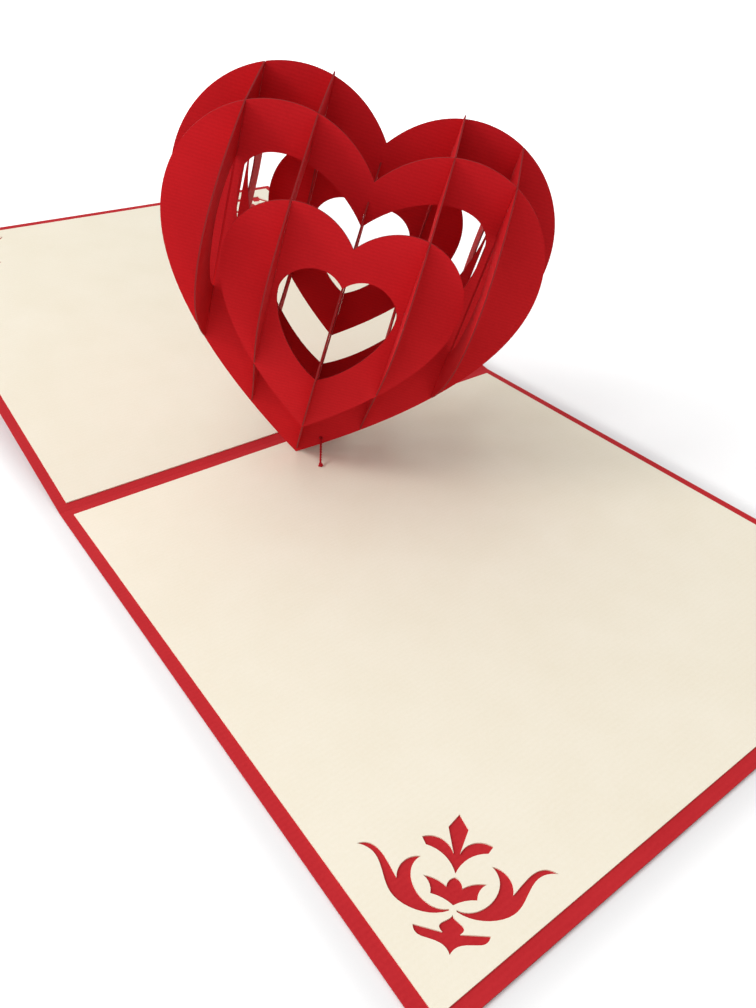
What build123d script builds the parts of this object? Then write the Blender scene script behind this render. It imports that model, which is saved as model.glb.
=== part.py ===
from build123d import *
from math import cos, radians, sin
import os

os.makedirs("parts", exist_ok=True)

# Cover: one sheet folded at the spine, its front leaf flat on the table
leaf_width = 150.0
leaf_depth = 150.0
cover_board = 0.4
fold_rise = 10.7

# Inner panels, one glued on each leaf
panel_board = 0.3
panel_margin = 2.75

# Sliceform heart: four heart slices crossed by five ribs
slice_board = 0.35
slot_play = 0.12
slot_run_out = 4.0
heart_pitch = 15.0
rib_pitch = 15.6

# Stance of the heart over the spine, angles in degrees
heart_x = -3.9
heart_y = -3.4
front_lean = 13.7
side_lean = 8.1
heart_turn = 39.2
rib_skew = 4.2
seat_gap = 0.03

# Heart outlines: half width, height of the widest place, notch, tip
front_small = (28.0, 61.0, 70.3, 19.8)
front_small_hole = (14.0, 56.3, 60.5, 34.9)
front_large = (46.3, 63.6, 80.4, -0.6)
front_large_hole = (29.5, 72.0, 69.4, 20.9)
rear_large = (48.8, 65.2, 84.6, -0.9)
rear_large_hole = (30.6, 73.0, 72.3, 20.9)
rear_small = (26.6, 60.4, 69.9, 22.0)
rear_small_hole = (13.3, 56.5, 60.5, 36.3)

# Fullness of the curves, of the hearts: notch out and up, lobe, flank, tip out
# and up
outer_fullness = (0.336, 0.455, 0.566, 0.352, 0.488, 0.274)
oval_fullness = 0.55
hole_fullness = (0.372, 0.476, 0.398, 0.381, 0.458, 0.143)

# Ribs: reach from the middle, height of that reach, and where the edge
# stands off the outline of the heart it crosses. The opening of a rib is
# given by the bands of card left at its side, foot and crown.
centre_reach = 28.0
centre_reach_height = 42.0
centre_foot_rise = 1.1
centre_shoulder_drop = 11.2
centre_crown_drop = 4.5
inner_reach = 33.0
inner_reach_height = 60.0
inner_crown_rise = 1.0
outer_reach = 29.0
outer_reach_height = 65.0
centre_bands = (11.0, 20.0, 11.0)
inner_bands = (14.0, 21.0, 9.0)
outer_bands = (10.0, 13.0, 11.0)

# Anchor thread, knotted behind the front large heart and on the front panel
thread_size = 0.7
thread_hole = 1.1
thread_across = 5.8
thread_height = 6.5
knot_size = 1.5
knot_height = 1.0
knot_x = -7.6
knot_y = -19.4

# Corner ornament cut through the panels: points of the right half of each
# cut, across and along the diagonal from the corner of the leaf, and how far
# the ornament sits towards the middle and the free edge of its leaf
ornament_shift = (0.6, -1.1)
spear = ((0, 37.1), (1.75, 34.4), (0.55, 29.7))
petal_top = ((0.55, 29.7), (2.9, 32.1), (6.1, 31.9))
petal_bottom = ((5.3, 30.5), (2.2, 29.2), (0, 26.1))
crown_top = ((0, 25.5), (0.9, 24.9), (1.3, 23.8))
crown_wing = ((1.3, 23.8), (3.2, 24.8), (5.3, 25.1))
crown_flank = ((5.3, 25.1), (4.2, 24.0), (3.8, 22.2))
crown_base = ((3.8, 22.2), (1.4, 21.6), (0, 20.8))
horn_back = ((0.6, 19.85), (5.2, 19.1), (10.2, 21.4), (13.2, 27.0), (16.9, 28.8))
horn_front = ((16.9, 28.8), (14.2, 29.1), (12.0, 27.4), (9.5, 24.0))
horn_barb = ((9.5, 24.0), (8.5, 27.2), (5.9, 28.3))
horn_bowl = ((5.9, 28.3), (7.3, 25.6), (5.2, 21.3), (0.6, 20.15))
bud_top = ((0, 19.3), (0.8, 18.4), (1.9, 17.5), (1.4, 16.4))
bud_wing = ((1.4, 16.4), (3.2, 16.6), (6.1, 16.9))
bud_flank = ((6.1, 16.9), (5.2, 15.5), (3.4, 15.1), (1.4, 14.6), (0, 13.1))

# Places that follow from the sizes above
spine_y = leaf_depth / 2
panel_top = cover_board + panel_board
panel_size = (leaf_width - 2 * panel_margin, leaf_depth - 2 * panel_margin)
large_row = heart_pitch / 2
small_row = 3 * heart_pitch / 2
slot_width = slice_board * (1 + sin(radians(rib_skew))) / cos(radians(rib_skew)) + slot_play
back_leaf = Plane(Location((0, spine_y, 0)) * Rotation(fold_rise, 0, 0))
stance = Rotation(front_lean, 0, 0) * Rotation(0, side_lean, 0) * Rotation(0, 0, -heart_turn)


def heart_plane(base, row):
    """Plane of a heart slice, a distance behind the middle of the heart."""
    shift = Location((row * sin(radians(rib_skew)), row * cos(radians(rib_skew)), 0))
    return Plane(base * shift * Plane.XZ.location)


def rib_plane(base, column):
    """Plane of a rib, a distance to the right of the middle of the heart."""
    return Plane(base * Location((column, 0, 0)) * Rotation(0, 0, -rib_skew) * Plane.YZ.location)


def heart_line(size, fullness):
    """Heart outline: a lobe and a flank on the right, mirrored to the left."""
    half, widest, notch, tip = size
    notch_out, notch_up, lobe, flank, tip_out, tip_up = fullness
    drop = widest - tip
    with BuildLine() as line:
        Bezier(
            (0, notch),
            (half * notch_out, notch + half * notch_up),
            (half, widest + half * lobe),
            (half, widest),
        )
        Bezier(
            (half, widest),
            (half, widest - drop * flank),
            (half * tip_out, tip + drop * tip_up),
            (0, tip),
        )
        mirror(about=Plane.YZ)
    return line.edges()


def heart_shape(outer, hole):
    """Flat heart with its heart-shaped hole."""
    with BuildSketch() as shape:
        make_face(heart_line(outer, outer_fullness))
        make_face(heart_line(hole, hole_fullness), mode=Mode.SUBTRACT)
    return shape.sketch


def bands(shape, across):
    """Heights between which a flat slice has card, at one distance across."""
    probe = Edge.make_line((across, -leaf_depth), (across, leaf_depth))
    cuts = [edge.bounding_box() for edge in (shape & probe).edges()]
    return sorted((cut.min.Y, cut.max.Y) for cut in cuts)


# Flat hearts, each with its distance behind the middle
hearts = {
    "front_small_heart": (-small_row, heart_shape(front_small, front_small_hole)),
    "front_large_heart": (-large_row, heart_shape(front_large, front_large_hole)),
    "rear_large_heart": (large_row, heart_shape(rear_large, rear_large_hole)),
    "rear_small_heart": (small_row, heart_shape(rear_small, rear_small_hole)),
}


def rib_edge(large, small, column, reach, foot, shoulder, crown):
    """Edge of a rib from foot to crown, flush with the outlines of two hearts."""
    large_at, large_shape = hearts[large]
    small_at, small_shape = hearts[small]
    side = 1 if large_at > 0 else -1
    large_bands = bands(large_shape, column)
    small_bands = bands(small_shape, column)
    edge = [(large_at, large_bands[0][0] + foot), (side * reach[0], reach[1])]
    edge.append((large_at, large_bands[-1][1] + crown))
    if small_bands:
        edge.insert(1, (small_at, small_bands[0][0]))
        edge.insert(3, (small_at, small_bands[-1][1] + shoulder))
    return edge


def rib_shape(column, reach, foot=0, shoulder=0, front_crown=0, rear_crown=0, opening=None):
    """Flat rib: egg-like, with a straight foot and crown and an oval opening."""
    front = rib_edge("front_large_heart", "front_small_heart", column, reach, foot, shoulder, front_crown)
    rear = rib_edge("rear_large_heart", "rear_small_heart", column, reach, foot, shoulder, rear_crown)
    with BuildSketch() as shape:
        with BuildLine():
            Line(front[0], rear[0])
            Spline(*rear)
            Line(rear[-1], front[-1])
            Spline(*front)
        make_face()
        if opening:
            half = reach[0] - opening[0]
            low = max(front[0][1], rear[0][1]) + opening[1]
            high = min(front[-1][1], rear[-1][1]) - opening[2]
            with BuildLine():
                for end in (low, high):
                    Bezier(
                        (0, end),
                        (half * oval_fullness, end),
                        (half, reach[1] + (end - reach[1]) * oval_fullness),
                        (half, reach[1]),
                    )
                mirror(about=Plane.YZ)
            make_face(mode=Mode.SUBTRACT)
    return shape.sketch


# Flat ribs, each with its distance to the right of the middle
centre_rib = rib_shape(
    0,
    (centre_reach, centre_reach_height),
    foot=centre_foot_rise,
    shoulder=-centre_shoulder_drop,
    front_crown=-centre_crown_drop,
    rear_crown=-centre_crown_drop,
    opening=centre_bands,
)
inner_rib = rib_shape(
    rib_pitch,
    (inner_reach, inner_reach_height),
    rear_crown=inner_crown_rise,
    opening=inner_bands,
)
outer_rib = rib_shape(2 * rib_pitch, (outer_reach, outer_reach_height), opening=outer_bands)
ribs = {
    "left_outer_rib": (-2 * rib_pitch, outer_rib),
    "left_inner_rib": (-rib_pitch, inner_rib),
    "centre_rib": (0, centre_rib),
    "right_inner_rib": (rib_pitch, inner_rib),
    "right_outer_rib": (2 * rib_pitch, outer_rib),
}

# Slots meet at the middle of each crossing. Below a heart's hole the rib is
# pushed down on the heart, and above the hole it is pushed up into it.
heart_slots = {name: [] for name in hearts}
rib_slots = {name: [] for name in ribs}
for heart_name, (row, heart_sketch) in hearts.items():
    for rib_name, (column, rib_sketch) in ribs.items():
        for above, (low, high) in enumerate(bands(heart_sketch, column)):
            crossed = [band for band in bands(rib_sketch, row) if band[0] < high and band[1] > low]
            for foot, top in crossed[:1]:
                middle = (max(low, foot) + min(high, top)) / 2
                if above:
                    heart_slots[heart_name].append((column, low - slot_run_out, middle))
                    rib_slots[rib_name].append((row, middle - slot_play, top + slot_run_out))
                else:
                    heart_slots[heart_name].append((column, middle, high + slot_run_out))
                    rib_slots[rib_name].append((row, foot - slot_run_out, middle + slot_play))

# The heart is raised until the tip of its front large slice meets the panel
base = Location((heart_x, spine_y + heart_y, 0)) * stance
front_tip = heart_plane(base, -large_row).from_local_coords((0, front_large[-1], 0))
base = Location((0, 0, panel_top + seat_gap - front_tip.Z)) * base

with BuildPart() as cover:
    with BuildSketch(Plane.YZ):
        with BuildLine():
            Polyline(
                (spine_y - leaf_depth, 0),
                (spine_y, 0),
                (spine_y + leaf_depth * cos(radians(fold_rise)), leaf_depth * sin(radians(fold_rise))),
            )
            offset(amount=cover_board, side=Side.LEFT)
        make_face()
    extrude(amount=leaf_width / 2, both=True)
cover.part.label = "cover"
export_step(cover.part, "parts/cover.step")

with BuildSketch() as ornament:
    with BuildLine():
        Polyline(*spear)
        ThreePointArc(*petal_top)
        Line(petal_top[-1], petal_bottom[0])
        ThreePointArc(*petal_bottom)
        Line(petal_bottom[-1], spear[0])
    make_face()
    with BuildLine():
        ThreePointArc(*crown_top)
        ThreePointArc(*crown_wing)
        ThreePointArc(*crown_flank)
        ThreePointArc(*crown_base)
        Line(crown_base[-1], crown_top[0])
    make_face()
    with BuildLine():
        Spline(*horn_back)
        Spline(*horn_front)
        ThreePointArc(*horn_barb)
        Spline(*horn_bowl)
        Line(horn_bowl[-1], horn_back[0])
    make_face()
    with BuildLine():
        Spline(*bud_top)
        ThreePointArc(*bud_wing)
        Spline(*bud_flank)
        Line(bud_flank[-1], bud_top[0])
    make_face()
    mirror(about=Plane.YZ)

corner_x = leaf_width / 2 - ornament_shift[0]
corner_y = ornament_shift[1] - leaf_depth / 2
left_corner = Location((-corner_x, corner_y, 0), (0, 0, -45))
right_corner = Location((corner_x, corner_y, 0), (0, 0, 45))

with BuildPart() as front_panel:
    with BuildSketch(Plane.XY.offset(cover_board)):
        Rectangle(*panel_size)
        with Locations(left_corner, right_corner):
            add(ornament.sketch, mode=Mode.SUBTRACT)
    extrude(amount=panel_board)
front_panel.part.label = "front_panel"
export_step(front_panel.part, "parts/front_panel.step")

with BuildPart() as back_panel:
    with BuildSketch(Plane(back_leaf.location * Location((0, leaf_depth / 2, cover_board), (0, 0, 180)))):
        Rectangle(*panel_size)
        with Locations(left_corner, right_corner):
            add(ornament.sketch, mode=Mode.SUBTRACT)
    extrude(amount=panel_board)
back_panel.part.label = "back_panel"
export_step(back_panel.part, "parts/back_panel.step")

for name, (row, shape) in hearts.items():
    with BuildPart() as heart:
        with BuildSketch(heart_plane(base, row)):
            add(shape)
            for across, low, high in heart_slots[name]:
                with Locations((across, low)):
                    Rectangle(slot_width, high - low, align=(Align.CENTER, Align.MIN), mode=Mode.SUBTRACT)
            if name == "front_large_heart":
                with Locations((thread_across, thread_height)):
                    Circle(thread_hole / 2, mode=Mode.SUBTRACT)
        extrude(amount=slice_board / 2, both=True)
    heart.part.label = name
    export_step(heart.part, f"parts/{name}.step")

for name, (column, shape) in ribs.items():
    with BuildPart() as rib:
        with BuildSketch(rib_plane(base, column)):
            add(shape)
            for along, low, high in rib_slots[name]:
                with Locations((along, low)):
                    Rectangle(slot_width, high - low, align=(Align.CENTER, Align.MIN), mode=Mode.SUBTRACT)
        extrude(amount=slice_board / 2, both=True)
    rib.part.label = name
    export_step(rib.part, f"parts/{name}.step")

thread_face = heart_plane(base, -large_row)
thread_start = thread_face.from_local_coords((thread_across, thread_height, 0))
thread_end = Vector(knot_x, spine_y + knot_y, panel_top)
back_knot = thread_face.from_local_coords((thread_across, thread_height, -slice_board / 2))

with BuildPart() as thread:
    with BuildSketch(Plane(origin=thread_start, z_dir=thread_end - thread_start)):
        Circle(thread_size / 2)
    extrude(amount=(thread_end - thread_start).length)
    with BuildSketch(Plane(origin=thread_start, z_dir=-thread_face.z_dir)):
        Circle(thread_size / 2)
    extrude(amount=slice_board / 2 + knot_height)
    with BuildSketch(Plane(origin=back_knot, z_dir=-thread_face.z_dir)):
        Circle(knot_size / 2)
    extrude(amount=knot_height)
    with BuildSketch(Plane(origin=thread_end)):
        Circle(knot_size / 2)
    extrude(amount=knot_height)
    split(bisect_by=Plane.XY.offset(panel_top), keep=Keep.TOP)
thread.part.label = "thread"
export_step(thread.part, "parts/thread.step")
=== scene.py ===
import math

import bpy
import numpy as np
from mathutils import Matrix, Vector


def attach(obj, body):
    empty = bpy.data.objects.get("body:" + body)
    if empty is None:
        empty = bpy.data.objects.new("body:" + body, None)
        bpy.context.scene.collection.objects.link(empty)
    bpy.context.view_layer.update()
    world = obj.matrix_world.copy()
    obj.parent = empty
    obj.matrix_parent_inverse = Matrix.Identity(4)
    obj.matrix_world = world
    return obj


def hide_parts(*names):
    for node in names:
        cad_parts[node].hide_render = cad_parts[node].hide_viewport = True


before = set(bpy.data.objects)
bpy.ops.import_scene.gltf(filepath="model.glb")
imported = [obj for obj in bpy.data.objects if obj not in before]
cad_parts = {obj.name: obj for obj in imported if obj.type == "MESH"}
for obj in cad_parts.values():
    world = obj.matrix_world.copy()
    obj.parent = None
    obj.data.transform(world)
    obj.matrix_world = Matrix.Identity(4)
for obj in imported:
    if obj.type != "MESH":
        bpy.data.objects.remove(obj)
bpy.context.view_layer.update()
scene = bpy.context.scene
scene.view_settings.view_transform = "Standard"

# Stance of the sliced heart and rise of the back leaf, degrees
FRONT_LEAN, SIDE_LEAN, HEART_TURN, RIB_SKEW = 13.7, 8.1, 39.2, 4.2
FOLD_RISE = 10.7

# Laid lines in the card: spacing in metres, and weight
SLICE_LINES = (0.00085, 0.08)
COVER_LINES = (0.0011, 0.04)
PANEL_LINES = (0.0011, 0.03)
THREAD_LINES = (0.0006, 0.3)

# Finish of the card: how far its lines wander, in spacings, how square a face
# has to be to its sheet not to be a cut edge, its shine and its relief
LINE_WANDER, EDGE_FACING = 0.5, 0.7
CARD_ROUGH, PANEL_ROUGH, CARD_SHINE = 0.8, 0.85, 0.18
RELIEF, RELIEF_DEPTH = 0.06, 0.0003
DARK_TONE, LIGHT_TONE = 0.3, 0.7

# Anchor thread, metres: its run, its two plies, and its knots
HOLE = np.array((-3.636, 61.198, 6.076)) / 1000
HOLE_BACK = np.array((-3.527, 61.334, 6.093)) / 1000
LEAF_END = np.array((-7.6, 55.6, 0.7)) / 1000
BEHIND = np.array((0.6257, 0.7740, 0.0970))
UPWARD = np.array((0, 0, 1.0))
PLY_RADIUS, PLY_OFFSET, PLY_TWIST = 0.00018, 0.00017, 0.0016
KNOT_STRAND, KNOT_SPREAD, KNOT_RISE, KNOT_MIDDLE = 0.00025, 0.00016, 0.00024, 0.0005
PLY_STEPS, KNOT_STEPS, STRAND_SIDES, STRAND_TIP = 120, 144, 12, 0.2

# Floor, metres: the card's leaf on it, and its glow close to the card and far
# from it, each as the distances between which it grows and its full strength.
# The near glow is missing next to the card's outline, which paints a grey rim
# of shade, a painted contact shadow, along the card's edges.
FLOOR_REACH, FLOOR_DROP, FLOOR_GREY, FLOOR_ROUGH = 3.0, 0.0002, 0.86, 0.9
LEAF_SIDE = 0.15
# Painted shade: no glow within 1 mm of the card and full glow from 9 mm, so a grey rim borders the
# card
RIM_SHADE_GLOW = (0.001, 0.009, 0.22)
FAR_GLOW = (0.01, 0.35, 0.6)

# Light: window, overhead lamp and fill, each from the middle of the card, with
# its side in metres and its power in watts
TARGET = Vector((0, 0.06, 0.04))
LAMPS = (
    ("window", (-0.71, 0.22, 0.54), 0.3, 3.0),
    ("overhead", (-0.15, 0, 0.95), 0.8, 1.3),
    ("fill", (-0.45, -0.68, 0.4), 0.8, 0.8),
)
ROOM_LEVEL, ROOM_LEAN = 0.71, (-0.29, 0.47, 0)

# Camera: degrees, metres, and focal length in pixels of the photograph's height
AZIMUTH, ELEVATION, ROLL = -38.15, 36.18, 2.35
CAMERA_AT = Vector((-0.1120, -0.1044, 0.1275))
FOCAL_PIXELS, PHOTO_HEIGHT, SENSOR = 806, 1008, 36


def turn(axis, degrees):
    """Rotation matrix about one axis of the frame."""
    return Matrix.Rotation(math.radians(degrees), 3, axis)


STANCE = turn("X", FRONT_LEAN) @ turn("Y", SIDE_LEAN) @ turn("Z", -HEART_TURN)
HEART_UP = STANCE @ Vector((0, 0, 1))
HEART_NORMAL = STANCE @ Vector((0, 1, 0))
RIB_NORMAL = STANCE @ turn("Z", -RIB_SKEW) @ Vector((1, 0, 0))
LEAF_UP = Vector((0, 0, 1))
LEAF_UP_BACK = turn("X", FOLD_RISE) @ LEAF_UP
LEAF_ALONG = Vector((0, 1, 0))
THREAD_ALONG = Vector((1, 1, 1))


def srgb(r, g, b):
    """Display colour from 0 to 255 as linear values with full alpha."""
    c = np.array((r, g, b), float) / 255
    lin = np.where(c <= 0.04045, c / 12.92, ((c + 0.055) / 1.055) ** 2.4)
    return (*lin.tolist(), 1.0)


def node(tree, kind, at, **sets):
    """Adds a node and sets its properties; in_N sets the unlinked input N."""
    n = tree.nodes.new(kind)
    n.location = at
    for k, v in sets.items():
        if k.startswith("in_"):
            n.inputs[int(k[3:])].default_value = v
        else:
            setattr(n, k, v)
    return n


def noise(tree, at, coordinates, **inputs):
    """Noise texture on the given coordinates; returns its value."""
    n = node(tree, "ShaderNodeTexNoise", at)
    for k, v in inputs.items():
        n.inputs[k].default_value = v
    tree.links.new(coordinates, n.inputs["Vector"])
    return n.outputs["Fac"]


def card_group():
    """Card surface. Lines: waves of a set spacing along one direction of the
    object, shifted a little by a noise. Edge: 1 where the surface turns away
    from the sheet's own normal, so on the cut edges. Tone: lines, fibres and
    slow clouds mixed about 0.5. Height: lines and fibres, for a bump."""
    g = bpy.data.node_groups.new("card_surface", "ShaderNodeTree")
    face = g.interface
    for name in ("Lines", "Sheet"):
        face.new_socket(name, in_out="INPUT", socket_type="NodeSocketVector")
    for name in ("Spacing", "Line weight"):
        face.new_socket(name, in_out="INPUT", socket_type="NodeSocketFloat")
    for name in ("Tone", "Height", "Edge"):
        face.new_socket(name, in_out="OUTPUT", socket_type="NodeSocketFloat")
    gin = node(g, "NodeGroupInput", (-900, 0))
    gout = node(g, "NodeGroupOutput", (900, 0))
    co = node(g, "ShaderNodeTexCoord", (-900, -300))
    place = co.outputs["Object"]
    link = g.links.new

    wobble = noise(g, (-700, -400), place, Scale=420, Detail=2)
    along = node(g, "ShaderNodeVectorMath", (-700, 100), operation="DOT_PRODUCT")
    link(place, along.inputs[0])
    link(gin.outputs["Lines"], along.inputs[1])
    steps = node(g, "ShaderNodeMath", (-520, 100), operation="DIVIDE")
    link(along.outputs["Value"], steps.inputs[0])
    link(gin.outputs["Spacing"], steps.inputs[1])
    drift = node(g, "ShaderNodeMath", (-520, -100), operation="MULTIPLY_ADD", in_1=LINE_WANDER)
    link(wobble, drift.inputs[0])
    link(steps.outputs[0], drift.inputs[2])
    cycle = node(g, "ShaderNodeMath", (-340, 100), operation="MULTIPLY", in_1=2 * math.pi)
    link(drift.outputs[0], cycle.inputs[0])
    wave = node(g, "ShaderNodeMath", (-180, 100), operation="SINE")
    link(cycle.outputs[0], wave.inputs[0])
    lines = node(g, "ShaderNodeMath", (0, 100), operation="MULTIPLY")
    link(wave.outputs[0], lines.inputs[0])
    link(gin.outputs["Line weight"], lines.inputs[1])

    fibre = noise(g, (-340, -200), place, Scale=1900, Detail=3, Roughness=0.65)
    cloud = noise(g, (-340, -450), place, Scale=60, Detail=2)
    half = node(g, "ShaderNodeMath", (0, -400), operation="MULTIPLY", in_1=0.5)
    link(cloud, half.inputs[0])
    mixed = node(g, "ShaderNodeMath", (0, -200), operation="MULTIPLY_ADD", in_1=0.5)
    link(fibre, mixed.inputs[0])
    link(half.outputs[0], mixed.inputs[2])
    tone = node(g, "ShaderNodeMath", (220, 0), operation="ADD", use_clamp=True)
    link(mixed.outputs[0], tone.inputs[0])
    link(lines.outputs[0], tone.inputs[1])
    link(tone.outputs[0], gout.inputs["Tone"])
    height = node(g, "ShaderNodeMath", (220, -200), operation="ADD")
    link(fibre, height.inputs[0])
    link(lines.outputs[0], height.inputs[1])
    link(height.outputs[0], gout.inputs["Height"])

    facing = node(g, "ShaderNodeVectorMath", (-520, 400), operation="DOT_PRODUCT")
    link(co.outputs["Normal"], facing.inputs[0])
    link(gin.outputs["Sheet"], facing.inputs[1])
    turned = node(g, "ShaderNodeMath", (-340, 400), operation="ABSOLUTE")
    link(facing.outputs["Value"], turned.inputs[0])
    edge = node(g, "ShaderNodeMath", (-180, 400), operation="LESS_THAN", in_1=EDGE_FACING)
    link(turned.outputs[0], edge.inputs[0])
    link(edge.outputs[0], gout.inputs["Edge"])
    return g


CARD = card_group()


def card_material(name, colours, sheet, along, lines, rough=CARD_ROUGH):
    """Matte card. Its colours are dark, light and cut: the tone of the surface
    goes from dark to light, the cut edges have their own, and a fine relief
    follows the lines and fibres."""
    dark, light, cut = colours
    m = bpy.data.materials.new(name)
    m.use_nodes = True
    t = m.node_tree
    t.nodes.clear()
    link = t.links.new
    out = node(t, "ShaderNodeOutputMaterial", (700, 0))
    bsdf = node(t, "ShaderNodeBsdfPrincipled", (420, 0))
    bsdf.inputs["Roughness"].default_value = rough
    bsdf.inputs["Specular IOR Level"].default_value = CARD_SHINE
    g = node(t, "ShaderNodeGroup", (-500, 0), node_tree=CARD)
    g.inputs["Lines"].default_value = along
    g.inputs["Sheet"].default_value = sheet
    g.inputs["Spacing"].default_value, g.inputs["Line weight"].default_value = lines
    ramp = node(t, "ShaderNodeValToRGB", (-280, 150))
    low, high = ramp.color_ramp.elements
    low.position, low.color = DARK_TONE, dark
    high.position, high.color = LIGHT_TONE, light
    link(g.outputs["Tone"], ramp.inputs["Fac"])
    mix = node(t, "ShaderNodeMix", (120, 150), data_type="RGBA")
    first, second = [s for s in mix.inputs if s.type == "RGBA"]
    second.default_value = cut
    link(g.outputs["Edge"], mix.inputs["Factor"])
    link(ramp.outputs["Color"], first)
    link([s for s in mix.outputs if s.type == "RGBA"][0], bsdf.inputs["Base Color"])
    bump = node(t, "ShaderNodeBump", (120, -200))
    bump.inputs["Strength"].default_value = RELIEF
    bump.inputs["Distance"].default_value = RELIEF_DEPTH
    link(g.outputs["Height"], bump.inputs["Height"])
    link(bump.outputs["Normal"], bsdf.inputs["Normal"])
    link(bsdf.outputs["BSDF"], out.inputs["Surface"])
    return m


def background_ray(tree):
    """Socket that is 1 for camera, glossy and transmission rays, else 0."""
    path = node(tree, "ShaderNodeLightPath", (-1100, 200))
    first = node(tree, "ShaderNodeMath", (-900, 200), operation="MAXIMUM")
    tree.links.new(path.outputs["Is Camera Ray"], first.inputs[0])
    tree.links.new(path.outputs["Is Glossy Ray"], first.inputs[1])
    ray = node(tree, "ShaderNodeMath", (-740, 200), operation="MAXIMUM")
    tree.links.new(first.outputs[0], ray.inputs[0])
    tree.links.new(path.outputs["Is Transmission Ray"], ray.inputs[1])
    return ray.outputs[0]


def dress(material, *names):
    """Gives CAD nodes a material of their own."""
    for n in names:
        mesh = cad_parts[n].data
        mesh.materials.clear()
        mesh.materials.append(material)


# Card sheets: dark, light and cut colours
SLICE_RED = (srgb(188, 15, 24), srgb(203, 22, 31), srgb(142, 34, 35))
COVER_RED = (srgb(182, 30, 38), srgb(195, 40, 46), srgb(180, 46, 50))
CREAM = (srgb(239, 231, 210), srgb(244, 237, 219), srgb(233, 224, 202))
THREAD_RED = (srgb(150, 10, 20), srgb(198, 30, 42), srgb(182, 20, 32))

dress(
    card_material("heart card", SLICE_RED, HEART_NORMAL, HEART_UP, SLICE_LINES),
    "front_small_heart", "front_large_heart", "rear_large_heart", "rear_small_heart",
)
dress(
    card_material("rib card", SLICE_RED, RIB_NORMAL, HEART_UP, SLICE_LINES),
    "left_outer_rib", "left_inner_rib", "centre_rib", "right_inner_rib", "right_outer_rib",
)
dress(card_material("cover card", COVER_RED, LEAF_UP, LEAF_ALONG, COVER_LINES), "cover")
dress(
    card_material("front panel card", CREAM, LEAF_UP, LEAF_ALONG, PANEL_LINES, PANEL_ROUGH),
    "front_panel",
)
dress(
    card_material("back panel card", CREAM, LEAF_UP_BACK, LEAF_ALONG, PANEL_LINES, PANEL_ROUGH),
    "back_panel",
)


def unit(v):
    """Vectors of length 1 along the last axis."""
    return v / np.linalg.norm(v, axis=-1, keepdims=True)


def tube(path, radius, closed):
    """Round strand along a path. A circle of the given radius stands square to
    the path's direction at each step, and at the ends of an open path it
    shrinks to a fifth and is closed by a flat cap. Returns the corner points
    and the four-sided faces."""
    steps, around = len(path), STRAND_SIDES
    if closed:
        tangent = unit(np.roll(path, -1, 0) - np.roll(path, 1, 0))
    else:
        tangent = unit(np.gradient(path, axis=0))
    side = unit(np.cross(tangent, (0.3, -0.2, 0.93)))
    over = np.cross(side, tangent)
    size = np.full(steps, radius)
    if not closed:
        size[[0, -1]] *= STRAND_TIP
    a = np.linspace(0, 2 * np.pi, around, endpoint=False)[None, :, None]
    circle = np.cos(a) * side[:, None] + np.sin(a) * over[:, None]
    points = path[:, None] + size[:, None, None] * circle
    i = np.arange(steps if closed else steps - 1)[:, None]
    j = np.arange(around)[None]
    k, m = (i + 1) % steps, (j + 1) % around
    corners = [i * around + j, k * around + j, k * around + m, i * around + m]
    faces = np.stack(corners, -1).reshape(-1, 4)
    if not closed:
        j = np.arange(1, around - 1, 2)
        cap = np.stack([0 * j, j, j + 1, j + 2], -1)
        faces = np.concatenate([faces, cap, cap[:, ::-1] + (steps - 1) * around])
    return points.reshape(-1, 3), faces


def ply(start, end, phase):
    """One ply of a two-ply thread: a helix about the straight line from start
    to end, at the ply's offset from it, with one turn in each length of twist."""
    t = np.linspace(0, 1, PLY_STEPS)[:, None]
    line = end - start
    axis = unit(line)
    one = unit(np.cross(axis, (1, 0, 0)))
    two = np.cross(axis, one)
    angle = 2 * np.pi * t * np.linalg.norm(line) / PLY_TWIST + phase
    return start + t * line + PLY_OFFSET * (np.cos(angle) * one + np.sin(angle) * two)


def knot(centre, axis):
    """Overhand knot: the closed curve x = sin t + 2 sin 2t, y = cos t - 2 cos
    2t, z = -sin 3t, flattened along the axis to a lump 1.5 mm wide and 1 mm
    high with its strand."""
    t = np.linspace(0, 2 * np.pi, KNOT_STEPS, endpoint=False)[:, None]
    one = unit(np.cross(axis, (0.4, 0.9, 0.1)))
    two = np.cross(axis, one)
    x = np.sin(t) + 2 * np.sin(2 * t)
    y = np.cos(t) - 2 * np.cos(2 * t)
    z = -np.sin(3 * t)
    return centre + KNOT_SPREAD * (x * one + y * two) + KNOT_RISE * z * axis


# Anchor thread: two twisted plies from the hole in the heart to each knot
leaf_knot = LEAF_END + KNOT_MIDDLE * UPWARD
back_knot = HOLE_BACK + KNOT_MIDDLE * BEHIND
strands = [
    tube(ply(HOLE, end, phase), PLY_RADIUS, False)
    for end in (leaf_knot, back_knot) for phase in (0.0, np.pi)
]
strands.append(tube(knot(leaf_knot, UPWARD), KNOT_STRAND, True))
strands.append(tube(knot(back_knot, BEHIND), KNOT_STRAND, True))
firsts = np.cumsum([0] + [len(points) for points, faces in strands])
thread_mesh = bpy.data.meshes.new("anchor_thread")
thread_mesh.from_pydata(
    np.concatenate([points for points, faces in strands]).tolist(), [],
    np.concatenate([faces + first for (points, faces), first in zip(strands, firsts)]).tolist(),
)
thread_mesh.polygons.foreach_set("use_smooth", np.ones(len(thread_mesh.polygons), bool))
thread_mesh.materials.append(
    card_material("thread", THREAD_RED, LEAF_UP, THREAD_ALONG, THREAD_LINES)
)
thread = bpy.data.objects.new("anchor_thread", thread_mesh)
scene.collection.objects.link(thread)
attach(thread, "root")
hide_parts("thread")
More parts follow.
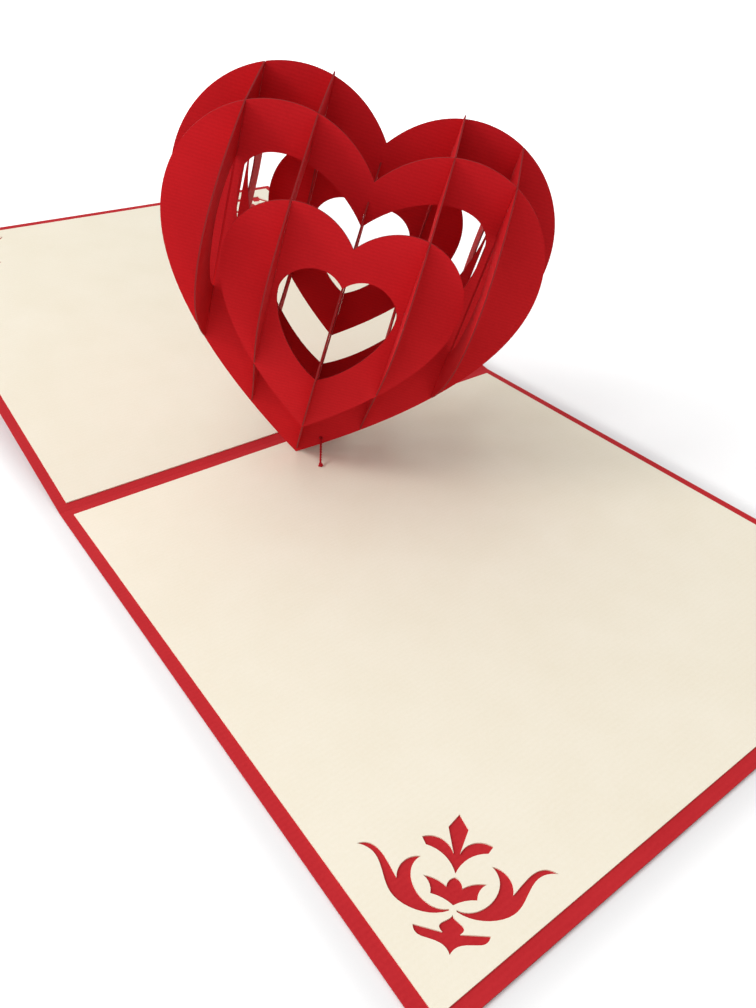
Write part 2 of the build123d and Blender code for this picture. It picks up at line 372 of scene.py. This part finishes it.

# Floor: pale, and white to the camera away from the card, so that the shadow
# close to the card stays. Next to the card's outline it has no glow, so a grey
# rim of painted shadow runs along the card's edges.
floor_mesh = bpy.data.meshes.new("floor")
r = FLOOR_REACH
floor_mesh.from_pydata([(-r, -r, 0), (r, -r, 0), (r, r, 0), (-r, r, 0)], [], [(0, 1, 2, 3)])
floor = bpy.data.objects.new("floor", floor_mesh)
scene.collection.objects.link(floor)
floor.location.z = -FLOOR_DROP
floor_paint = bpy.data.materials.new("floor")
floor_paint.use_nodes = True
tree = floor_paint.node_tree
link = tree.links.new
paint = tree.nodes["Principled BSDF"]
paint.inputs["Base Color"].default_value = (FLOOR_GREY, FLOOR_GREY, FLOOR_GREY, 1)
paint.inputs["Roughness"].default_value = FLOOR_ROUGH

# Distance of a spot on the floor from the card's outline, two leaves long
spot = node(tree, "ShaderNodeTexCoord", (-1300, -550)).outputs["Object"]
for at, operation, value in (
    (-1100, "SUBTRACT", (0, LEAF_SIDE / 2, 0)),
    (-940, "ABSOLUTE", None),
    (-780, "SUBTRACT", (LEAF_SIDE / 2, LEAF_SIDE, 1)),
    (-620, "MAXIMUM", (0, 0, 0)),
):
    step = node(tree, "ShaderNodeVectorMath", (at, -550), operation=operation)
    link(spot, step.inputs[0])
    if value is not None:
        step.inputs[1].default_value = value
    spot = step.outputs[0]
away = node(tree, "ShaderNodeVectorMath", (-460, -550), operation="LENGTH")
link(spot, away.inputs[0])
# The near glow leaves a grey rim of painted shade along the card's outline
both = node(tree, "ShaderNodeMath", (-120, -550), operation="ADD")
for i, (kind, (begin, full, strength)) in enumerate((("SMOOTHSTEP", RIM_SHADE_GLOW), ("LINEAR", FAR_GLOW))):
    grow = node(
        tree, "ShaderNodeMapRange", (-300, -450 - 250 * i), interpolation_type=kind,
        in_1=begin, in_2=full, in_3=0.0, in_4=strength,
    )
    link(away.outputs["Value"], grow.inputs["Value"])
    link(grow.outputs["Result"], both.inputs[i])
glow = node(tree, "ShaderNodeMath", (40, -300), operation="MULTIPLY")
link(background_ray(tree), glow.inputs[0])
link(both.outputs[0], glow.inputs[1])
paint.inputs["Emission Color"].default_value = (1, 1, 1, 1)
link(glow.outputs[0], paint.inputs["Emission Strength"])
floor_mesh.materials.append(floor_paint)

# Room: brighter towards the window, and white to the camera
world = bpy.data.worlds.new("room")
scene.world = world
world.use_nodes = True
tree = world.node_tree
link = tree.links.new
sky = tree.nodes["Background"]
sky.inputs["Color"].default_value = (1, 1, 1, 1)
direction = node(tree, "ShaderNodeTexCoord", (-900, -200)).outputs["Generated"]
lean = node(tree, "ShaderNodeVectorMath", (-700, -200), operation="DOT_PRODUCT", in_1=ROOM_LEAN)
link(direction, lean.inputs[0])
room = node(tree, "ShaderNodeMath", (-500, -200), operation="ADD", in_1=ROOM_LEVEL)
link(lean.outputs["Value"], room.inputs[0])
level = node(tree, "ShaderNodeMapRange", (-300, 0), in_4=1.0)
link(background_ray(tree), level.inputs["Value"])
link(room.outputs[0], level.inputs["To Min"])
link(level.outputs["Result"], sky.inputs["Strength"])

# Square area lamps, aimed at the middle of the card
for name, offset, side, watts in LAMPS:
    lamp_data = bpy.data.lights.new(name, "AREA")
    lamp_data.size = side
    lamp_data.energy = watts
    lamp = bpy.data.objects.new(name, lamp_data)
    scene.collection.objects.link(lamp)
    lamp.location = TARGET + Vector(offset)
    lamp.rotation_euler = (-Vector(offset)).to_track_quat("-Z", "Y").to_euler()

# Camera at the photograph's angle
azimuth, elevation, roll = (math.radians(a) for a in (AZIMUTH, ELEVATION, ROLL))
back = Vector((
    math.sin(azimuth) * math.cos(elevation),
    -math.cos(azimuth) * math.cos(elevation),
    math.sin(elevation),
))
level_right = (-back).cross(Vector((0, 0, 1))).normalized()
level_up = level_right.cross(-back)
right = level_right * math.cos(roll) + level_up * math.sin(roll)
up = level_up * math.cos(roll) - level_right * math.sin(roll)
camera_data = bpy.data.cameras.new("camera")
camera_data.sensor_width = SENSOR
camera_data.lens = SENSOR * FOCAL_PIXELS / PHOTO_HEIGHT
camera_data.clip_start = 0.01
camera = bpy.data.objects.new("camera", camera_data)
scene.collection.objects.link(camera)
place = Matrix((right, up, back)).transposed().to_4x4()
place.translation = CAMERA_AT
camera.matrix_world = place
scene.camera = camera
